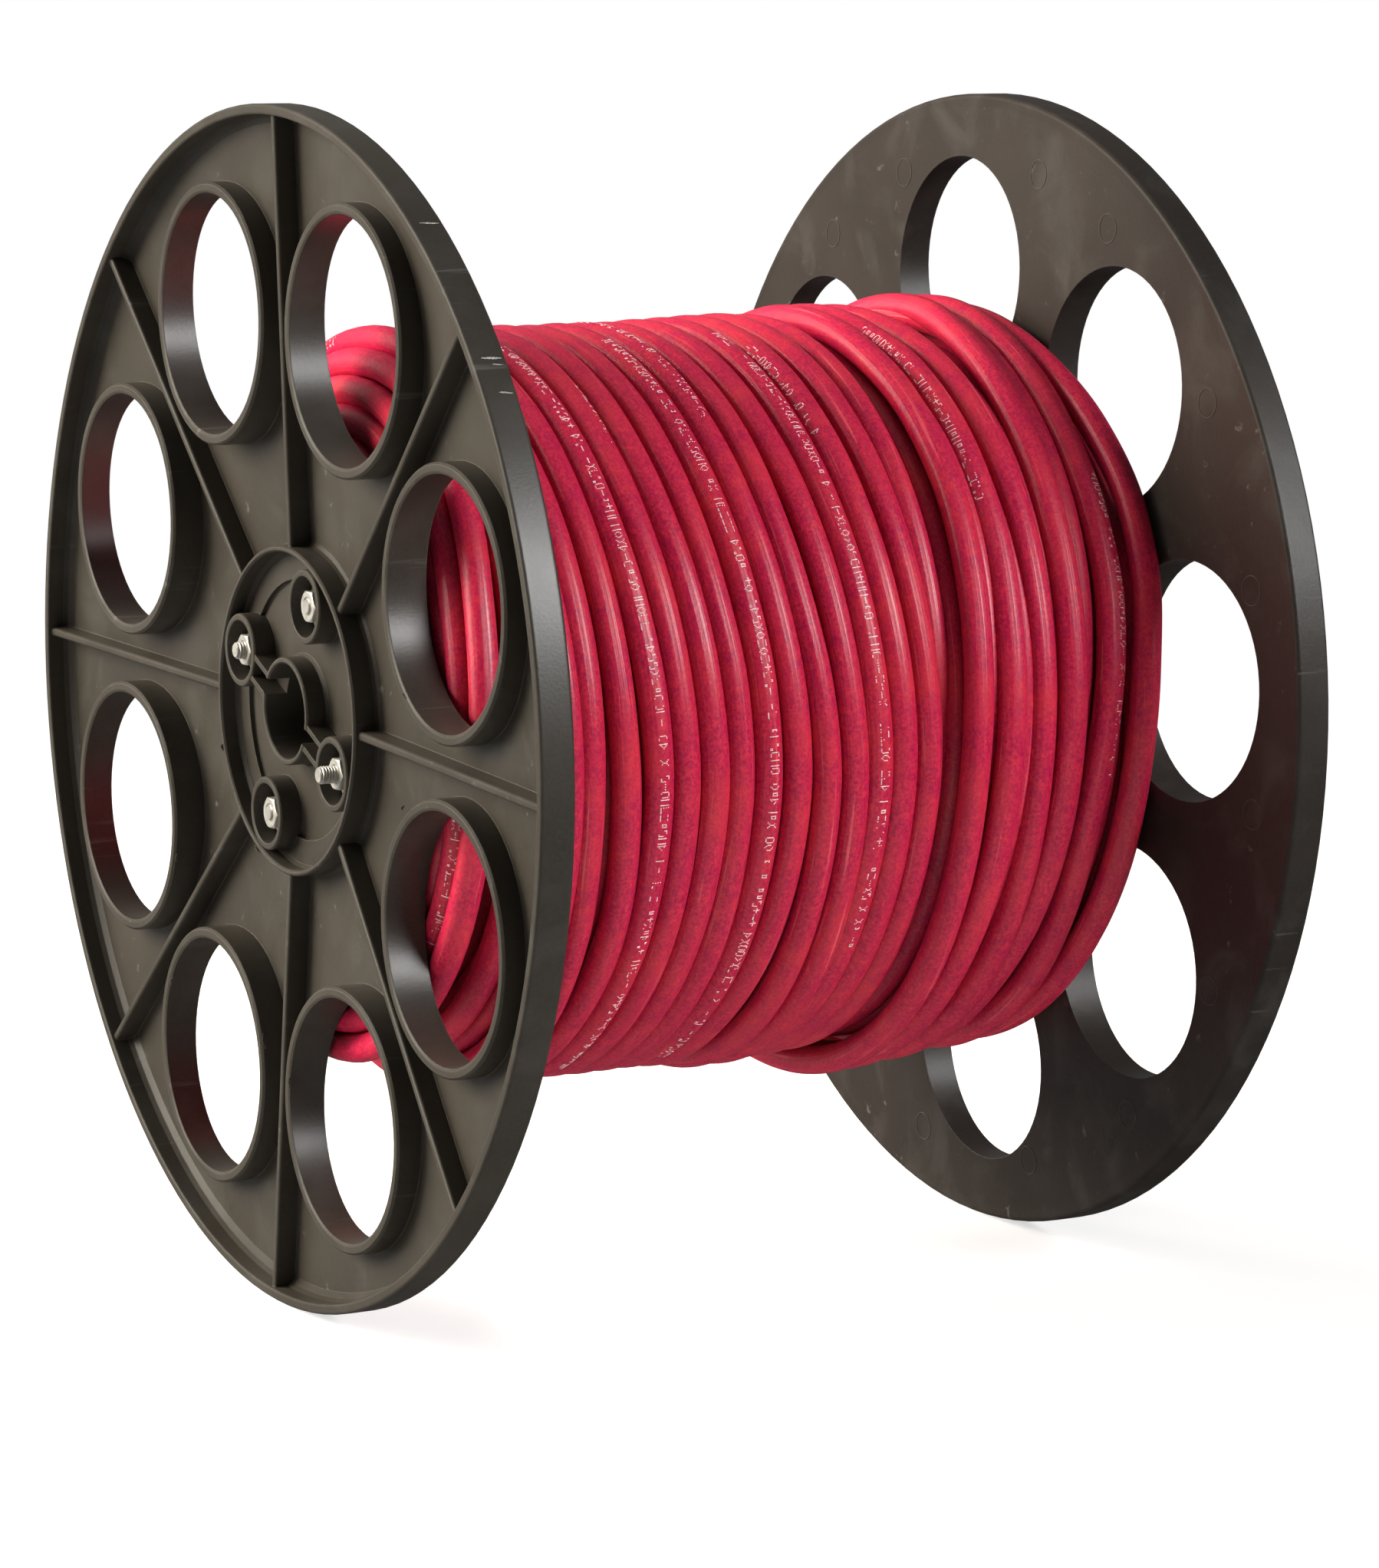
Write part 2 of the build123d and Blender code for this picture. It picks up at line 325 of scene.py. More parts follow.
# ---------------------------------------------------------------- the wound cable
# One cable in seven full layers and a part layer. theta is measured from +Z towards -Y and only grows
# along the cable; each turn lies square to the axis for most of its way round and steps over by one
# cable width in a crossing between about 25 and 100 degrees, as level-wound cable does.
CABLE_R = 5.0
LAYER_R0, LAYER_STEP = 65.2, 9.53
TURNS = 25
CROSS_AT = (20, 36, 52, 68, 84, 100, 120, 150, 230)
CROSS = (0, 0.04, 0.18, 0.44, 0.73, 0.92, 0.94, 0.90, 0.93)     # how much of the step is done there
# the leftmost ring of each layer at the top and back of the spool, where the winding draws away from the
# flange: place and radius of its centre line. From the front down to the bottom these rings lie on the flange.
LEFT_RING = {1: (-119.0, 67.6), 2: (-117.5, 77.2), 3: (-115.5, 86.8), 4: (-113.0, 96.2), 5: (-110.0, 105.4),
             6: (-105.6, 114.2), 7: (-99.0, 121.6)}
END_AT = (20, 36, 52, 68, 84, 100, 120, 150, 172)
END_DONE = (0.14, 0.36, 0.62, 0.84, 0.95, 1.0, 1.0, 1.0, 0.99)   # how far an end ring has moved to the flange
END_DONE_6 = (0.08, 0.24, 0.44, 0.655, 0.80, 0.90, 0.97, 0.98, 0.92)
# turns of the seventh layer that show in the gaps of the part layer: place and crest radius at CROSS_AT[:8]
UNDER = {
    17: ((54, 54, 54, 53, 52, 51, 51, 51), (119, 119.5, 120, 121, 122, 123, 124, 126)),
    18: ((62.8, 63.4, 63.2, 61.8, 60.2, 59.2, 59.4, 60), (124.5, 125.5, 127.5, 128.6, 128.6, 127, 126, 127)),
    19: ((74.0, 75.2, 75.2, 74.2, 73.0, 71.6, 70.0, 69.5), (121, 123, 125.5, 128.0, 129.6, 130.2, 130, 130)),
    20: ((86.6, 87.0, 86.8, 86.0, 85.0, 84.0, 82.0, 81.0), (121, 125.0, 127.0, 127.6, 127.6, 127, 127, 128)),
    21: ((101.6, 100.6, 99.8, 98.6, 97.0, 95.5, 94.0, 93.0), (129.2, 129.4, 129.4, 128.6, 126.5, 125, 125, 127)),
    22: ((112.0, 112.0, 112.0, 111.0, 110.0, 108.0, 106.0, 105.5), (121, 122, 123, 123, 124, 126, 126, 127)),
}
# places of the turns of the seventh layer that can be seen, at CROSS_AT[:8]
SEEN = {
    3: (-91.0, -90.4, -89.0, -87.8, -86.8, -86.0, -84.2, -83.0),
    4: (-81.0, -79.9, -78.8, -77.1, -75.3, -73.0, -71.1, -72.7),
    5: (-70.9, -70.1, -68.8, -66.3, -63.5, -61.6, -61.3, -62.8),
    6: (-61.0, -60.6, -59.1, -56.4, -53.7, -51.8, -51.6, -52.7),
    7: (-51.1, -50.7, -49.2, -46.2, -43.2, -41.3, -41.8, -42.8),
    8: (-40.7, -40.3, -38.9, -36.5, -33.2, -31.6, -31.7, -33.3),
    9: (-30.9, -30.6, -28.9, -26.3, -23.3, -21.6, -22.1, -24.1),
    10: (-20.7, -20.4, -19.0, -16.2, -13.0, -11.1, -11.9, -14.9),
    11: (-11.2, -10.5, -9.6, -7.1, -3.1, -0.5, -0.2, 0.0),
    12: (-0.3, 0.2, 2.1, 4.7, 7.6, 10.1, 10.9, 12.0),
    13: (10.4, 10.8, 12.3, 14.8, 17.4, 19.2, 18.7, 18.8),
    14: (20.5, 20.9, 22.2, 24.4, 26.7, 28.2, 27.9, 27.4),
    15: (31.6, 32.0, 33.2, 34.8, 36.6, 37.9, 37.6, 37.4),
    16: (42.6, 42.8, 43.6, 44.6, 45.0, 45.0, 44.6, 45.4),
}
SUNK_16 = (125.0, 124.6, 123.4, 121.8, 120.6, 119.8, 119.8, 122.0)   # crest radius of the sixteenth turn
# crest radius of the seventh layer at the top and bottom of the spool, along its length
CREST_X = (-130, -31, -20, -10, 0, 10, 20, 30, 42, 54, 130)
CREST_TOP = (124.3, 124.3, 124.4, 124.5, 124.8, 125.2, 125.8, 126.2, 125.5, 119.0, 119.0)
CREST_BOT = (130.5, 130.5, 130.0, 131.5, 132.6, 132.6, 131.3, 131.0, 129.5, 128.0, 128.0)
# the part layer, from the far flange back towards the middle: theta, place, crest radius
OUTER = (
    (0, 120.2, 128.0), (25, 119.6, 130.0), (45, 120.8, 134.0), (60, 122.2, 135.8), (70, 121.6, 135.8),
    (84, 118.4, 135.2), (100, 116.2, 134.7), (120, 115.0, 134.2), (145, 114.2, 133.6), (200, 114.0, 133.0),
    (290, 114.0, 131.0),
    (360, 113.6, 130.2), (380, 110.6, 131.0), (400, 109.0, 131.8), (420, 108.6, 132.3), (430, 108.4, 132.6),
    (440, 106.6, 132.8), (452, 103.4, 133.0), (460, 101.3, 133.1), (470, 99.7, 133.3), (484, 100.1, 133.8),
    (505, 101.6, 134.6), (560, 102.4, 135.0), (650, 102.6, 133.0),
    (720, 101.4, 131.2), (740, 97.0, 131.2), (756, 94.4, 131.4), (772, 92.8, 132.0), (788, 91.6, 132.8),
    (804, 90.4, 133.5), (820, 88.8, 134.0), (840, 86.3, 134.8), (860, 82.8, 135.6), (875, 81.6, 136.2),
    (940, 80.0, 136.4), (1030, 78.5, 132.5),
    (1080, 77.2, 127.8), (1094, 78.8, 128.0), (1100, 79.6, 128.3), (1116, 80.6, 129.4), (1132, 80.8, 130.6),
    (1148, 80.2, 131.6), (1164, 79.2, 132.4), (1180, 78.0, 133.4), (1200, 77.4, 134.8), (1220, 77.2, 136.4),
    (1240, 76.8, 137.2), (1300, 73.0, 136.0), (1390, 67.5, 131.0),
    (1440, 65.4, 128.6), (1454, 66.4, 128.6), (1468, 68.8, 129.0), (1484, 69.4, 130.0), (1500, 69.0, 131.4),
    (1516, 67.4, 133.0), (1532, 65.8, 134.4), (1550, 63.8, 136.0), (1570, 62.0, 137.6), (1590, 61.2, 138.8),
    (1640, 60.8, 138.6), (1740, 59.4, 131.5),
    (1800, 57.4, 128.4), (1820, 57.4, 128.6), (1836, 58.0, 129.4), (1852, 57.9, 130.4), (1868, 56.4, 131.8),
    (1884, 54.2, 133.4), (1900, 52.2, 135.2), (1920, 51.2, 137.4), (1940, 51.0, 139.0), (1960, 50.8, 139.6),
    (2010, 49.5, 138.0), (2060, 47.5, 134.0), (2110, 45.5, 130.5), (2135, 45.0, 129.5),
)


def pchip(xk, yk, x):
    """Monotone cubic through the knots."""
    xk, yk = np.asarray(xk, float), np.asarray(yk, float)
    h = np.diff(xk)
    dlt = np.diff(yk) / h
    m = np.zeros(len(xk))
    for i in range(1, len(xk) - 1):
        if dlt[i - 1] * dlt[i] > 0:
            w1, w2 = 2 * h[i] + h[i - 1], h[i] + 2 * h[i - 1]
            m[i] = (w1 + w2) / (w1 / dlt[i - 1] + w2 / dlt[i])
    m[0], m[-1] = dlt[0], dlt[-1]
    j = np.clip(np.searchsorted(xk, x, side="right") - 1, 0, len(h) - 1)
    t = (x - xk[j]) / h[j]
    return ((1 + 2 * t) * (1 - t) ** 2 * yk[j] + t * (1 - t) ** 2 * h[j] * m[j]
            + t * t * (3 - 2 * t) * yk[j + 1] + t * t * (t - 1) * h[j] * m[j + 1])


def crest7(x, th):
    """Crest radius of the seventh layer: the loose winding hangs a few millimetres low."""
    top, bot = np.interp(x, CREST_X, CREST_TOP), np.interp(x, CREST_X, CREST_BOT)
    return (top + bot) / 2 - (bot - top) / 2 * math.cos(math.radians(th))


def layer_knots(n):
    """Knots of layer n (1 to 7), with theta counted from the start of the cable. Odd layers run to +X."""
    rng = np.random.RandomState(40 + n)
    rn = LAYER_R0 + LAYER_STEP * (n - 1)
    x_end = 119.9 + 2.6 * (n - 1) / 6
    t0 = (n - 1) * TURNS * 360.0
    left, left_r = LEFT_RING[n]
    pitch = (x_end - left) / (TURNS - 2)
    sag = 3.0 * (n - 1) / 6
    turns = TURNS if n < 7 else TURNS - 2
    out = []
    for k in range(turns):
        first = n % 2 == 1 and k == 0 and n < 7          # lies on the left flange at the front, then leaves it
        last = n % 2 == 0 and k == TURNS - 1             # goes to the left flange, then climbs to the next layer
        if first or last:
            out.append((t0 + 360.0 * k, left, left_r))
            for a, e in zip(END_AT, END_DONE_6 if n == 6 else END_DONE):
                r = rn - sag * math.cos(math.radians(a))
                if a >= 150 and n >= 5:
                    r -= 1.6
                if a <= 84:
                    r += (left_r - (rn - sag)) * (1 - e)
                out.append((t0 + 360.0 * k + a, left + (-x_end - left) * e, r))
            if last:
                nx, nr = LEFT_RING[n + 1]
            else:
                nx, nr = left + pitch, left_r - 1.2
            for a, e in ((215, 0.35), (255, 0.72), (295, 0.95), (330, 1.0)):
                out.append((t0 + 360.0 * k + a, -x_end + (nx + x_end) * e, rn + (nr - rn) * e))
            continue
        j = 0.0 if k in (0, 1, turns - 2, turns - 1) else rng.uniform(-0.28, 0.28)
        for i, a in enumerate(CROSS_AT):
            c = CROSS[i]
            if n % 2:
                if n == 1 and k == 0:
                    x = -x_end
                elif k == 1:                             # steps over later than the rest, behind the spool
                    x = left + pitch * (1 + (0.0, 0, 0, 0, 0, 0, 0.1, 0.25, 0.8)[i])
                else:
                    x = min(left + pitch * (k + c), x_end)
            else:
                if k == TURNS - 2:                       # the last but one closes up to the end ring sooner
                    c = (0.10, 0.34, 0.62, 0.86, 0.97, 1.0, 1.0, 1.0, 1.0)[i]
                x = x_end if k == 0 else x_end - pitch * (k - 1 + c)
            r = rn - sag * math.cos(math.radians(a)) + rng.uniform(-0.18, 0.18)
            if n == 7:
                q = k + 2                                # SEEN counts from the flange
                if q == 2:
                    x = (-98.8, -98.2, -97.2, -95.6, -94.2, -93.4, -93.0, -92.8, -92.0)[i]
                elif q in SEEN and i < 8:
                    x = SEEN[q][i]
                elif q in SEEN and q + 1 in SEEN:
                    x = 0.5 * (SEEN[q][7] + SEEN[q + 1][0])
                else:
                    x = min(54.0 + 10.1 * (q - 17 + (c if i < 8 else 1.0)), x_end) if q > 16 else 50.0
                r = crest7(x, a) - CABLE_R + rng.uniform(-0.12, 0.12)
                if q == 2 and a < 60:
                    r += 2.6 * (1 - a / 60)
                if q == 16 and i < 8:
                    r = SUNK_16[i] - CABLE_R
                if q in UNDER and i < 8:
                    x, r = UNDER[q][0][i], UNDER[q][1][i] - CABLE_R
                elif q in UNDER:
                    x = 0.5 * (UNDER[q][0][7] + UNDER.get(q + 1, ((118.0,), 0))[0][0])
            if k == 0 and n > 1 and n % 2 == 0:          # still climbing off the layer below
                r -= LAYER_STEP * (0.5, 0.32, 0.17, 0.07, 0.0, 0, 0, 0, 0)[i]
            if n % 2 == 0 and k == TURNS - 2 and a >= 200:
                continue
            out.append((t0 + 360.0 * k + a, x + j, r))
        if n % 2 == 0 and k == TURNS - 2:
            for a, e in ((240, 0.3), (285, 0.75), (325, 1.0)):
                out.append((t0 + 360.0 * k + a, left, rn + (left_r - rn) * e))
    return out


def path_points(knots, step, lo, hi):
    k = np.array(knots)
    n = max(2, int(round((hi - lo) / step)) + 1)
    th = np.linspace(lo, hi, n)
    x, r = pchip(k[:, 0], k[:, 1], th), pchip(k[:, 0], k[:, 2], th)
    a = np.radians(th)
    return th, np.stack([x, -r * np.sin(a), r * np.cos(a)], 1)


def path_at(knots, t):
    k = np.array(knots)
    t = np.array([min(max(t, k[0, 0]), k[-1, 0])])
    x, r, a = pchip(k[:, 0], k[:, 1], t)[0], pchip(k[:, 0], k[:, 2], t)[0], math.radians(t[0])
    return np.array([x, -r * math.sin(a), r * math.cos(a)])


def tube(name, th, pts, seg, u0, lobes=0.13):
    """Sweeps the round, very slightly three-lobed sheath along the points. Returns the object and its end length."""
    n = len(pts)
    tan = np.gradient(pts, axis=0)
    for i, t in ((0, th[0]), (-1, th[-1])):              # the same direction on both sides of a join
        tan[i] = path_at(knots, t + 0.5) - path_at(knots, t - 0.5)
    tan /= np.linalg.norm(tan, axis=1)[:, None]
    a = np.radians(th)
    er = np.stack([np.zeros(n), -np.sin(a), np.cos(a)], 1)
    er -= (er * tan).sum(1)[:, None] * tan
    er /= np.linalg.norm(er, axis=1)[:, None]
    ex = np.cross(er, tan)
    ex *= np.sign(ex[:, :1])
    u = u0 + np.concatenate([[0], np.cumsum(np.linalg.norm(np.diff(pts, axis=0), axis=1))])
    v = np.linspace(0, 2 * np.pi, seg, endpoint=False)
    V, U = np.meshgrid(v, u)
    lay = V - 2 * np.pi * U / 1400.0 + 1.1 * np.sin(U / 310.0)
    rad = CABLE_R + lobes * (np.cos(3 * lay) + 0.35 * np.cos(6 * lay)) + 0.03 * np.sin(U / 7.3 + 2 * V)
    P = pts[:, None, :] + rad[..., None] * (np.cos(V)[..., None] * er[:, None, :] + np.sin(V)[..., None] * ex[:, None, :])
    verts = P.reshape(-1, 3) * MM
    uvs = np.stack([U * MM, V / (2 * np.pi)], -1).reshape(-1, 2)
    i = np.arange(n - 1)[:, None] * seg
    j = np.arange(seg)[None, :]
    j2 = (j + 1) % seg
    q = np.stack([i + j, i + j2, i + seg + j2, i + seg + j], -1).reshape(-1, 4)
    if np.dot(np.cross(P[0, 1] - P[0, 0], P[1, 0] - P[0, 0]), P[0, 0] - pts[0]) < 0:
        q = q[:, ::-1]
    faces = [tuple(f) for f in q]
    base = len(verts)
    verts = np.vstack([verts, pts[:1] * MM, pts[-1:] * MM])
    uvs = np.vstack([uvs, [[u[0] * MM, 0.5]], [[u[-1] * MM, 0.5]]])
    flip = q[0][1] != 1
    for s in range(seg):
        s2 = (s + 1) % seg
        e, e2 = (n - 1) * seg + s, (n - 1) * seg + s2
        faces.append((base, s2, s) if not flip else (base, s, s2))
        faces.append((base + 1, e, e2) if not flip else (base + 1, e2, e))
    o = add_mesh(name, verts, faces, M_SHEATH, uvs=uvs)
    ends_ = np.zeros(len(o.data.edges), dtype=bool)
    for e in o.data.edges:
        a, b = sorted(e.vertices)
        ends_[e.index] = b < seg or ((n - 1) * seg <= a and b < n * seg)
    o.data.attributes.new("sharp_edge", "BOOLEAN", "EDGE").data.foreach_set("value", ends_)
    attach(o, "root")
    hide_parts("cable_winding")
    return o, u[-1], (th, pts, er, ex, u)


def sheath_point(line, u, v, lift, lobes=0.13):
    """A point on the sheath at length u and angle v from the crest (towards +X), lifted off it."""
    th, pts, er, ex, uu = line
    p = np.array([np.interp(u, uu, pts[:, i]) for i in range(3)])
    e = np.array([np.interp(u, uu, er[:, i]) for i in range(3)])
    f = np.array([np.interp(u, uu, ex[:, i]) for i in range(3)])
    lay = v - 2 * np.pi * u / 1400.0 + 1.1 * np.sin(u / 310.0)
    rad = CABLE_R + lobes * (np.cos(3 * lay) + 0.35 * np.cos(6 * lay)) + 0.03 * np.sin(u / 7.3 + 2 * v) + lift
    return p + rad * (math.cos(v) * e + math.sin(v) * f)


# plain dot-matrix shapes, five wide and seven high: squares, bars, dots, steps and wedges, no letters
GLYPHS = (
    ("01110", "10001", "10001", "10001", "10001", "10001", "01110"), ("00000", "00000", "00000", "11111", "00000", "00000", "00000"),
    ("10000", "11000", "10100", "10010", "10100", "11000", "10000"), ("10001", "10001", "10001", "10001", "10001", "10001", "10001"),
    ("00100", "00100", "11111", "00100", "00100", "00000", "00000"), ("11000", "11000", "00000", "00000", "00000", "00011", "00011"),
    ("11111", "00000", "00000", "00000", "00000", "00000", "11111"), ("10001", "01010", "00100", "00100", "00100", "01010", "10001"),
    ("00000", "01110", "01010", "01010", "01110", "00000", "00000"), ("11100", "10000", "10000", "00001", "00001", "00001", "00111"),
    ("00100", "01010", "10001", "10001", "10001", "01010", "00100"), ("10000", "00000", "10000", "00000", "10000", "00000", "11111"),
)


def print_marks(name, line, t_lo, t_hi, psi, seed, fade=0.0, flip=False):
    """Small raised ink marks along the sheath between two angles, at angle psi from the crest."""
    rng = np.random.RandomState(seed)
    th, u = line[0], line[4]
    pos, end = np.interp(t_lo, th, u), np.interp(t_hi, th, u)
    total = end - pos
    verts, faces = [], []
    cell, high, dot = 2.50, 3.2, 0.40
    v0 = math.radians(psi)
    while pos < end - cell:
        if rng.rand() < 0.16:
            pos += cell
            continue
        g = GLYPHS[rng.randint(len(GLYPHS))]
        drift = 0.25 * math.sin(pos / 60.0 + seed)
        for c in range(5):
            r0 = 0
            while r0 < 7:
                if g[r0][c] == "1":
                    r1 = r0
                    while r1 + 1 < 7 and g[r1 + 1][c] == "1":
                        r1 += 1
                    if rng.rand() > fade * (pos - end + total) / total + 0.05:
                        ua = pos + (c if not flip else 4 - c) * 0.42
                        ha = (r0 - 3.0) * high / 7 - dot / 2 + drift
                        hb = (r1 - 3.0) * high / 7 + dot / 2 + drift
                        if not flip:
                            ha, hb = -hb, -ha
                        rows = max(2, r1 - r0 + 2)
                        base = len(verts)
                        for lift in (0.045, -0.12):
                            for w in (0.0, 0.30):
                                for t in np.linspace(ha, hb, rows):
                                    verts.append(sheath_point(line, ua + w, v0 + t / CABLE_R, lift) * MM)
                        n = rows
                        a, b, c2, d = base, base + n, base + 2 * n, base + 3 * n
                        for i in range(n - 1):
                            faces += [(a + i, b + i, b + i + 1, a + i + 1), (c2 + i, c2 + i + 1, d + i + 1, d + i),
                                      (a + i, a + i + 1, c2 + i + 1, c2 + i), (b + i, d + i, d + i + 1, b + i + 1)]
                        faces += [(a, c2, d, b), (a + n - 1, b + n - 1, d + n - 1, c2 + n - 1)]
                    r0 = r1 + 1
                else:
                    r0 += 1
        pos += cell
    o = add_mesh(name, verts, faces, M_INK, smooth=False)
    bm = bmesh.new()
    bm.from_mesh(o.data)
    bmesh.ops.recalc_face_normals(bm, faces=bm.faces)
    bm.to_mesh(o.data)
    bm.free()
    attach(o, "root")
    return o


knots = []
for n in range(1, 8):
    knots += layer_knots(n)
t_outer = (7 * TURNS - 2) * 360.0
knots = [q for q in knots if q[0] < t_outer - 60]
knots += [(t_outer + t, x, c - CABLE_R) for t, x, c in OUTER]
ends = [20.0] + [n * TURNS * 360.0 for n in range(1, 7)] + [t_outer, knots[-1][0]]
length = 0.0
lines = {}
for n in range(1, 9):
    if n < 6:
        step, seg = 6.0, 12
    elif n == 6:
        step, seg = 4.0, 14
    elif n == 7:
        step, seg = 2.5, 20
    else:
        step, seg = 1.5, 26
    th, pts = path_points(knots, step, ends[n - 1], ends[n])
    o, length, lines[n] = tube(f"winding_layer_{n}", th, pts, seg, length)
print("CABLE LENGTH mm", round(length))

t7 = 6 * TURNS * 360.0
for i, (n, lo, hi, psi, fade) in enumerate((
        (7, t7 + 360 * 3 + 14, t7 + 360 * 3 + 156, 0, 0.15), (7, t7 + 360 * 7 + 13, t7 + 360 * 7 + 156, -3, 0.10),
        (7, t7 + 360 * 8 - 8, t7 + 360 * 8 + 39, 4, 0.45), (7, t7 + 360 * 11 + 13, t7 + 360 * 11 + 127, 2, 0.35),
        (7, t7 + 360 * 12 + 18, t7 + 360 * 12 + 43, -46, 0.5), (7, t7 + 360 * 4 + 27, t7 + 360 * 4 + 43, 44, 0.6),
        (8, t_outer + 1440 + 16, t_outer + 1440 + 58, -42, 0.25), (8, t_outer + 360 + 54, t_outer + 360 + 100, 30, 0.5),
        (6, t7 - 46, t7 - 14, -66, 0.15), (5, 4 * TURNS * 360.0 + 96, 4 * TURNS * 360.0 + 128, -40, 0.5))):
    print_marks(f"print_marks_{i + 1}", lines[n], lo, hi, psi, 300 + i, fade)


# ---------------------------------------------------------------- nuts and threaded rod ends
def ring_mesh(name, rings, closed_ends, mat, centre):
    """Skins rings of (x, [(radius, angle), ...]) round an axis along X through centre (y, z)."""
    verts, faces = [], []
    seg = len(rings[0][1])
    for x, ra in rings:
        for r, a in ra:
            verts.append((x * MM, centre[0] + r * math.sin(a) * MM, centre[1] + r * math.cos(a) * MM))
    n = len(rings)
    for i in range(n - 1 if closed_ends else n):
        b0, b1 = i * seg, ((i + 1) % n) * seg
        for j in range(seg):
            j2 = (j + 1) % seg
            faces.append((b0 + j, b0 + j2, b1 + j2, b1 + j))
    if closed_ends:
        for x, b in ((rings[0][0], 0), (rings[-1][0], (n - 1) * seg)):
            verts.append((x * MM, centre[0], centre[1]))
            for j in range(seg):
                faces.append((len(verts) - 1, b + j, b + (j + 1) % seg))
    o = add_mesh(name, verts, faces, mat, smooth=True)
    bm = bmesh.new()
    bm.from_mesh(o.data)
    bmesh.ops.recalc_face_normals(bm, faces=bm.faces)
    bm.to_mesh(o.data)
    bm.free()
    for p in o.data.polygons:
        p.use_smooth = True
    o.data.set_sharp_from_angle(angle=math.radians(28))
    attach(o, "root")
    return o


def box_mm(node):
    b0, b1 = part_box(node)
    return np.array(b0) / MM, np.array(b1) / MM


def make_rod(node):
    b0, b1 = box_mm(node)
    cy, cz = (b0[1] + b1[1]) / 2 * MM, (b0[2] + b1[2]) / 2 * MM
    x0, x1 = b0[0], b1[0]
    seg, rings = 24, []
    xs = list(np.arange(x0, x0 + 16, 1 / 8)) + list(np.linspace(x0 + 16, x1 - 16, 12)) + list(np.arange(x1 - 16 + 1 / 8, x1, 1 / 8)) + [x1]
    for x in xs:
        ra = []
        d = min(x - x0, x1 - x)
        for j in range(seg):
            a = 2 * math.pi * j / seg
            if d < 15.5:
                f = ((x - a / (2 * math.pi)) % 1.0)
                tooth = 1 - abs(2 * f - 1)                       # 0 at the root, 1 at the crest
                r = 2.40 + 0.58 * min(1.0, max(0.0, (tooth - 0.12) / 0.70))
                r = min(r, 2.25 + d * 0.9)                       # chamfered end
            else:
                r = 2.96
            ra.append((r, a))
        rings.append((x, ra))
    o = ring_mesh("threaded_" + node, rings, True, M_ROD, (cy, cz))
    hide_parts(node)


def make_nut(node, turn):
    b0, b1 = box_mm(node)
    cy, cz = (b0[1] + b1[1]) / 2 * MM, (b0[2] + b1[2]) / 2 * MM
    x0, x1 = b0[0], b1[0]
    seg, rings = 72, []
    af = 5.0
    for d in (0.0, 0.08, 0.16, 0.25, 0.35, 0.46, 0.6):
        rings.append((x0 + d, d))
    rings = rings + [(x1 - d, d) for _, d in reversed(rings)]
    out = []
    for x, d in rings:
        ra = []
        for j in range(seg):
            a = 2 * math.pi * j / seg
            k = (a - turn + math.pi / 6) % (math.pi / 3) - math.pi / 6
            rh = min(af / math.cos(k), 5.70)
            ra.append((min(rh, 4.78 + d * 1.75), a))
        out.append((x, ra))
    for x, r in ((x1, 3.32), (x1 - 0.35, 3.03), (x0 + 0.35, 3.03), (x0, 3.32)):
        out.append((x, [(r, 2 * math.pi * j / seg) for j in range(seg)]))
    o = ring_mesh("hex_" + node, out, False, M_NUT, (cy, cz))
    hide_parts(node)


for i in range(4):
    make_rod(f"tie_rod_{i + 1}")
    make_nut(f"nut_left_{i + 1}", 0.0)
    make_nut(f"nut_right_{i + 1}", 0.0)

# ---------------------------------------------------------------- marks of moulding and handling on the flanges
def close_up(o, body="root"):
    bm = bmesh.new()
    bm.from_mesh(o.data)
    bmesh.ops.recalc_face_normals(bm, faces=bm.faces)
    bm.to_mesh(o.data)
    bm.free()
    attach(o, body)
    return o


def web_x(r):
    """Cable-side face of the dished web."""
    return HALF - 12.0 - (194.0 - min(r, 194.0)) * 0.0437


HALF = max(abs(v) for v in (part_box("left_flange")[0][0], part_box("right_flange")[1][0])) / MM
RIM_R = (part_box("left_flange")[1][2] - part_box("left_flange")[0][2]) / MM / 2

# fine circles left by the ejector pins, half-way between windows on the cable side
verts, faces = [], []
for side in (1, -1):
    for a in (13.1, 28.3, 54.9, 76.0, 99.8, 121.5, 144.4, 167.0, -169.7, -147.0, -124.0, -102.0, -79.0, -56.0, -34.4, -16.2):
        cy, cz = -178.0 * math.sin(math.radians(a)), 178.0 * math.cos(math.radians(a))
        n, b = 40, len(verts)
        for ro, up_ in ((4.75, 0.0), (4.75, 0.16), (5.15, 0.16), (5.15, 0.0)):
            for j in range(n):
                t = 2 * math.pi * j / n
                y, z = cy + ro * math.cos(t), cz + ro * math.sin(t)
                x = web_x(math.hypot(y, z)) - up_ + (0.10 if up_ == 0 else 0.0)
                verts.append((side * x * MM, y * MM, z * MM))
        for k in range(4):
            for j in range(n):
                j2 = (j + 1) % n
                faces.append((b + k * n + j, b + k * n + j2, b + (k + 1) % 4 * n + j2, b + (k + 1) % 4 * n + j))
# the pin marks use the darker far-flange copy of the plastic, which carries painted shade
pins = close_up(add_mesh("ejector_pin_marks", verts, faces, M_PLASTIC_FAR_SHADED, smooth=False))

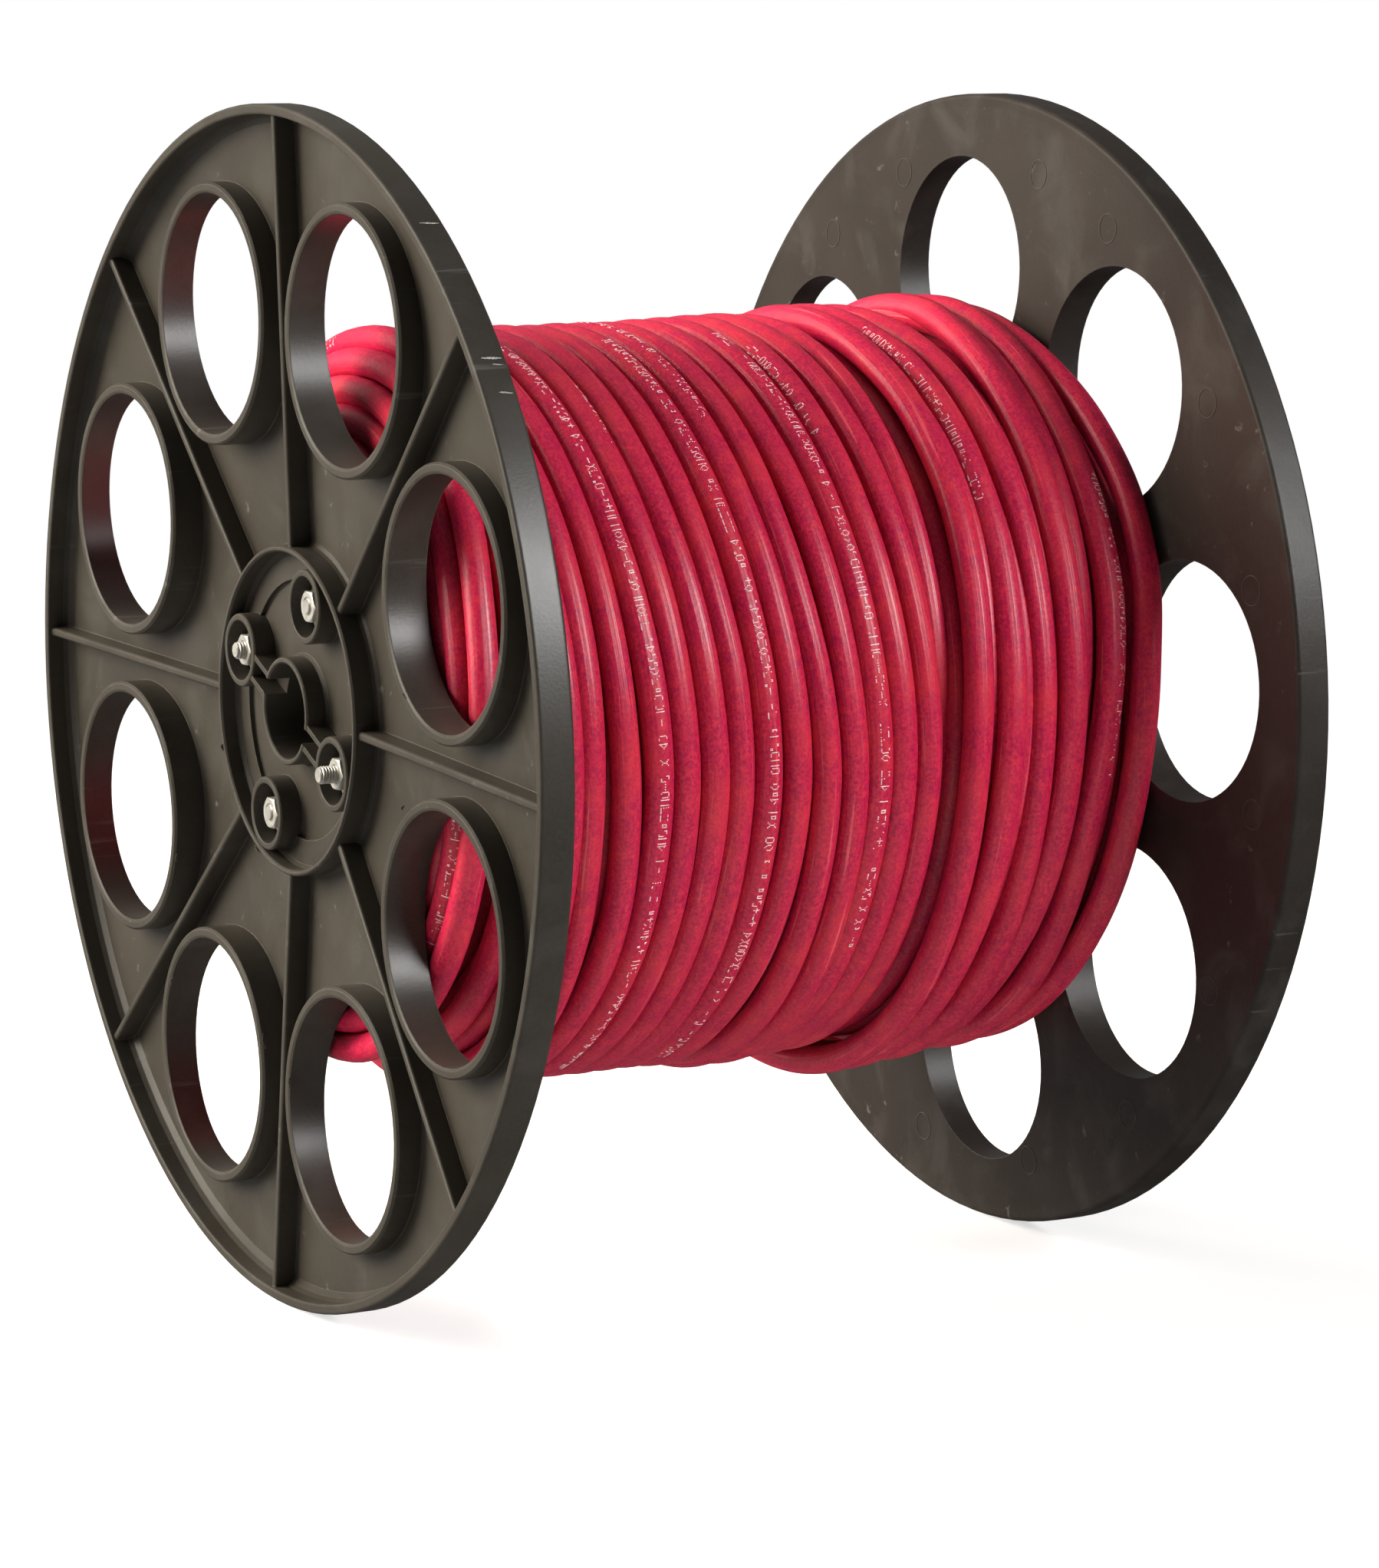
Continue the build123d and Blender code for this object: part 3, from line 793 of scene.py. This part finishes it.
# short pale scratches across the outside of the near rim
verts, faces = [], []
rng = np.random.RandomState(9)
for a, x0, x1, w in ((33.9, -139.4, -133.0, 0.30), (50.5, -139.6, -132.8, 0.36), (51.2, -136.5, -133.0, 0.18),
                     (54.1, -137.4, -132.8, 0.26)):
    n, b = 14, len(verts)
    for i in range(n + 1):
        t = i / n
        ww = w * math.sin(math.pi * min(max(t, 0.04), 0.96)) ** 0.6 * rng.uniform(0.7, 1.2)
        aa = math.radians(a) + rng.uniform(-0.0006, 0.0006) + 0.002 * t
        for r, sgn in ((RIM_R - 0.10, -1), (RIM_R + 0.05, -1), (RIM_R + 0.05, 1), (RIM_R - 0.10, 1)):
            q = aa + sgn * ww / RIM_R
            verts.append(((x0 + (x1 - x0) * t) * MM, -r * math.sin(q) * MM, r * math.cos(q) * MM))
    for i in range(n):
        for k in range(4):
            k2 = (k + 1) % 4
            faces.append((b + 4 * i + k, b + 4 * i + k2, b + 4 * i + 4 + k2, b + 4 * i + 4 + k))
    faces += [(b, b + 1, b + 2, b + 3), (b + 4 * n + 3, b + 4 * n + 2, b + 4 * n + 1, b + 4 * n)]
close_up(add_mesh("rim_scratches", verts, faces, M_SCUFF, smooth=False))

# thin tags of moulding flash on the free edges of a few collars and of the hub ring
verts, faces = [], []
spots = [("w", -158.0, -60.0, 4.0), ("w", -158.0, 70.0, 5.5), ("w", 157.0, -85.0, 5.0), ("w", 112.0, -40.0, 2.5), ("w", 67.0, 215.0, 3.0),
         ("w", -113.0, 100.0, 3.0), ("h", 0, 205.0, 4.5), ("h", 0, 250.0, 2.5), ("h", 0, 150.0, 3.0)]
for kind, wa, la, length_ in spots:
    if kind == "w":
        cy, cz = -138.0 * math.sin(math.radians(wa)), 138.0 * math.cos(math.radians(wa))
        rr, x_edge = 44.0, -HALF + 1.8
    else:
        cy, cz, rr, x_edge = 0.0, 0.0, 55.0, -HALF + 5.8
    n, b = 10, len(verts)
    for i in range(n + 1):
        t = i / n
        a = math.radians(la) + (t - 0.5) * length_ / rr
        h = 0.75 * math.sin(math.pi * min(max(t, 0.05), 0.95)) * rng.uniform(0.45, 1.25)
        for r, x in ((rr - 0.22, x_edge + 0.2), (rr - 0.10, x_edge - h), (rr + 0.05, x_edge - h), (rr + 0.02, x_edge + 0.2)):
            verts.append((x * MM, (cy - r * math.sin(a)) * MM, (cz + r * math.cos(a)) * MM))
    for i in range(n):
        for k in range(4):
            k2 = (k + 1) % 4
            faces.append((b + 4 * i + k, b + 4 * i + k2, b + 4 * i + 4 + k2, b + 4 * i + 4 + k))
    faces += [(b, b + 1, b + 2, b + 3), (b + 4 * n + 3, b + 4 * n + 2, b + 4 * n + 1, b + 4 * n)]
close_up(add_mesh("moulding_flash", verts, faces, M_PLASTIC_L, smooth=False))

# ---------------------------------------------------------------- lights, floor, world
world = bpy.data.worlds.new("studio")
bpy.context.scene.world = world
world.use_nodes = True
wt = world.node_tree
wt.nodes.clear()
wo = wt.nodes.new("ShaderNodeOutputWorld")
bg_cam = wt.nodes.new("ShaderNodeBackground")
bg_cam.inputs[0].default_value = (1, 1, 1, 1)
bg_env = wt.nodes.new("ShaderNodeBackground")
lp = wt.nodes.new("ShaderNodeLightPath")
mx = wt.nodes.new("ShaderNodeMixShader")
tc = wt.nodes.new("ShaderNodeTexCoord")
sep = wt.nodes.new("ShaderNodeSeparateXYZ")
wt.links.new(tc.outputs["Generated"], sep.inputs[0])
side = wt.nodes.new("ShaderNodeVectorMath")
side.operation = "DOT_PRODUCT"
side.inputs[1].default_value = (-0.50, 0.86, 0.0)
wt.links.new(tc.outputs["Generated"], side.inputs[0])
y_part = span(wt, side.outputs["Value"], -0.10, 0.85, 0.028, 0.26)
z_part = span(wt, sep.outputs["Z"], 0.30, 1.0, 0.0, 0.14)
env = math_(wt, "MAXIMUM", y_part, z_part)
env = math_(wt, "MULTIPLY", env, span(wt, sep.outputs["Z"], -0.55, -0.10, 0.35, 1.0))
comb = wt.nodes.new("ShaderNodeCombineColor")
for k in range(3):
    wt.links.new(env, comb.inputs[k])
wt.links.new(comb.outputs[0], bg_env.inputs[0])
bg_env.inputs[1].default_value = 1.0
wt.links.new(lp.outputs["Is Camera Ray"], mx.inputs[0])
wt.links.new(bg_env.outputs[0], mx.inputs[1])
wt.links.new(bg_cam.outputs[0], mx.inputs[2])
wt.links.new(mx.outputs[0], wo.inputs[0])


def softbox(name, loc, target, sx, sy, power, color=(1, 1, 1), glossy=True):
    l = bpy.data.lights.new(name, "AREA")
    l.shape = "RECTANGLE"
    l.size, l.size_y = sx, sy
    l.energy = power
    l.color = color
    o = bpy.data.objects.new(name, l)
    bpy.context.scene.collection.objects.link(o)
    o.location = loc
    o.visible_glossy = glossy
    o.rotation_euler = (Vector(target) - Vector(loc)).to_track_quat("-Z", "Y").to_euler()
    return o


softbox("key", (1.10, -2.05, 1.15), (0, 0, 0), 0.95, 0.90, 76, (1.0, 0.99, 0.985))
softbox("left", (-2.10, 1.90, 1.00), (0, 0, 0.02), 2.3, 2.0, 355, (1.0, 0.93, 0.82), glossy=False)
softbox("left_gloss", (-2.55, 1.00, 1.10), (0, 0, 0.02), 2.2, 1.8, 74, (1.0, 0.925, 0.80))
softbox("top", (-0.2, 0.5, 2.6), (0, 0, 0), 1.6, 1.4, 9, glossy=False)
softbox("back", (-0.80, 2.30, 1.05), (0, 0, 0.05), 1.8, 1.4, 70, (1.0, 0.92, 0.82), glossy=False)

fm, fnt, fp = new_mat("floor_paper")
fout = next(n for n in fnt.nodes if n.type == "OUTPUT_MATERIAL")
fn = noise(fnt, coords(fnt), 3.0, 3, 0.5)
fnt.links.new(mix(fnt, fn, (0.40, 0.40, 0.40), (0.43, 0.43, 0.425)), fp.inputs["Base Color"])
fp.inputs["Roughness"].default_value = 0.9
fp.inputs["Specular IOR Level"].default_value = 0.05
fp.inputs["Emission Color"].default_value = (1, 1, 1, 1)
fp.inputs["Emission Strength"].default_value = 0.62
clear = fnt.nodes.new("ShaderNodeBsdfTransparent")
fade = fnt.nodes.new("ShaderNodeMixShader")
away = fnt.nodes.new("ShaderNodeVectorMath")
away.operation = "LENGTH"
fnt.links.new(coords(fnt), away.inputs[0])
fnt.links.new(span(fnt, away.outputs["Value"], 0.45, 1.5), fade.inputs[0])
fnt.links.new(fp.outputs[0], fade.inputs[1])
fnt.links.new(clear.outputs[0], fade.inputs[2])
fnt.links.new(fade.outputs[0], fout.inputs["Surface"])
floor = add_mesh("floor", [(-3, -3, -0.2003), (3, -3, -0.2003), (3, 3, -0.2003), (-3, 3, -0.2003)], [(0, 1, 2, 3)], fm, smooth=False)
floor.visible_glossy = False
floor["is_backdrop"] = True

lo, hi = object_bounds()
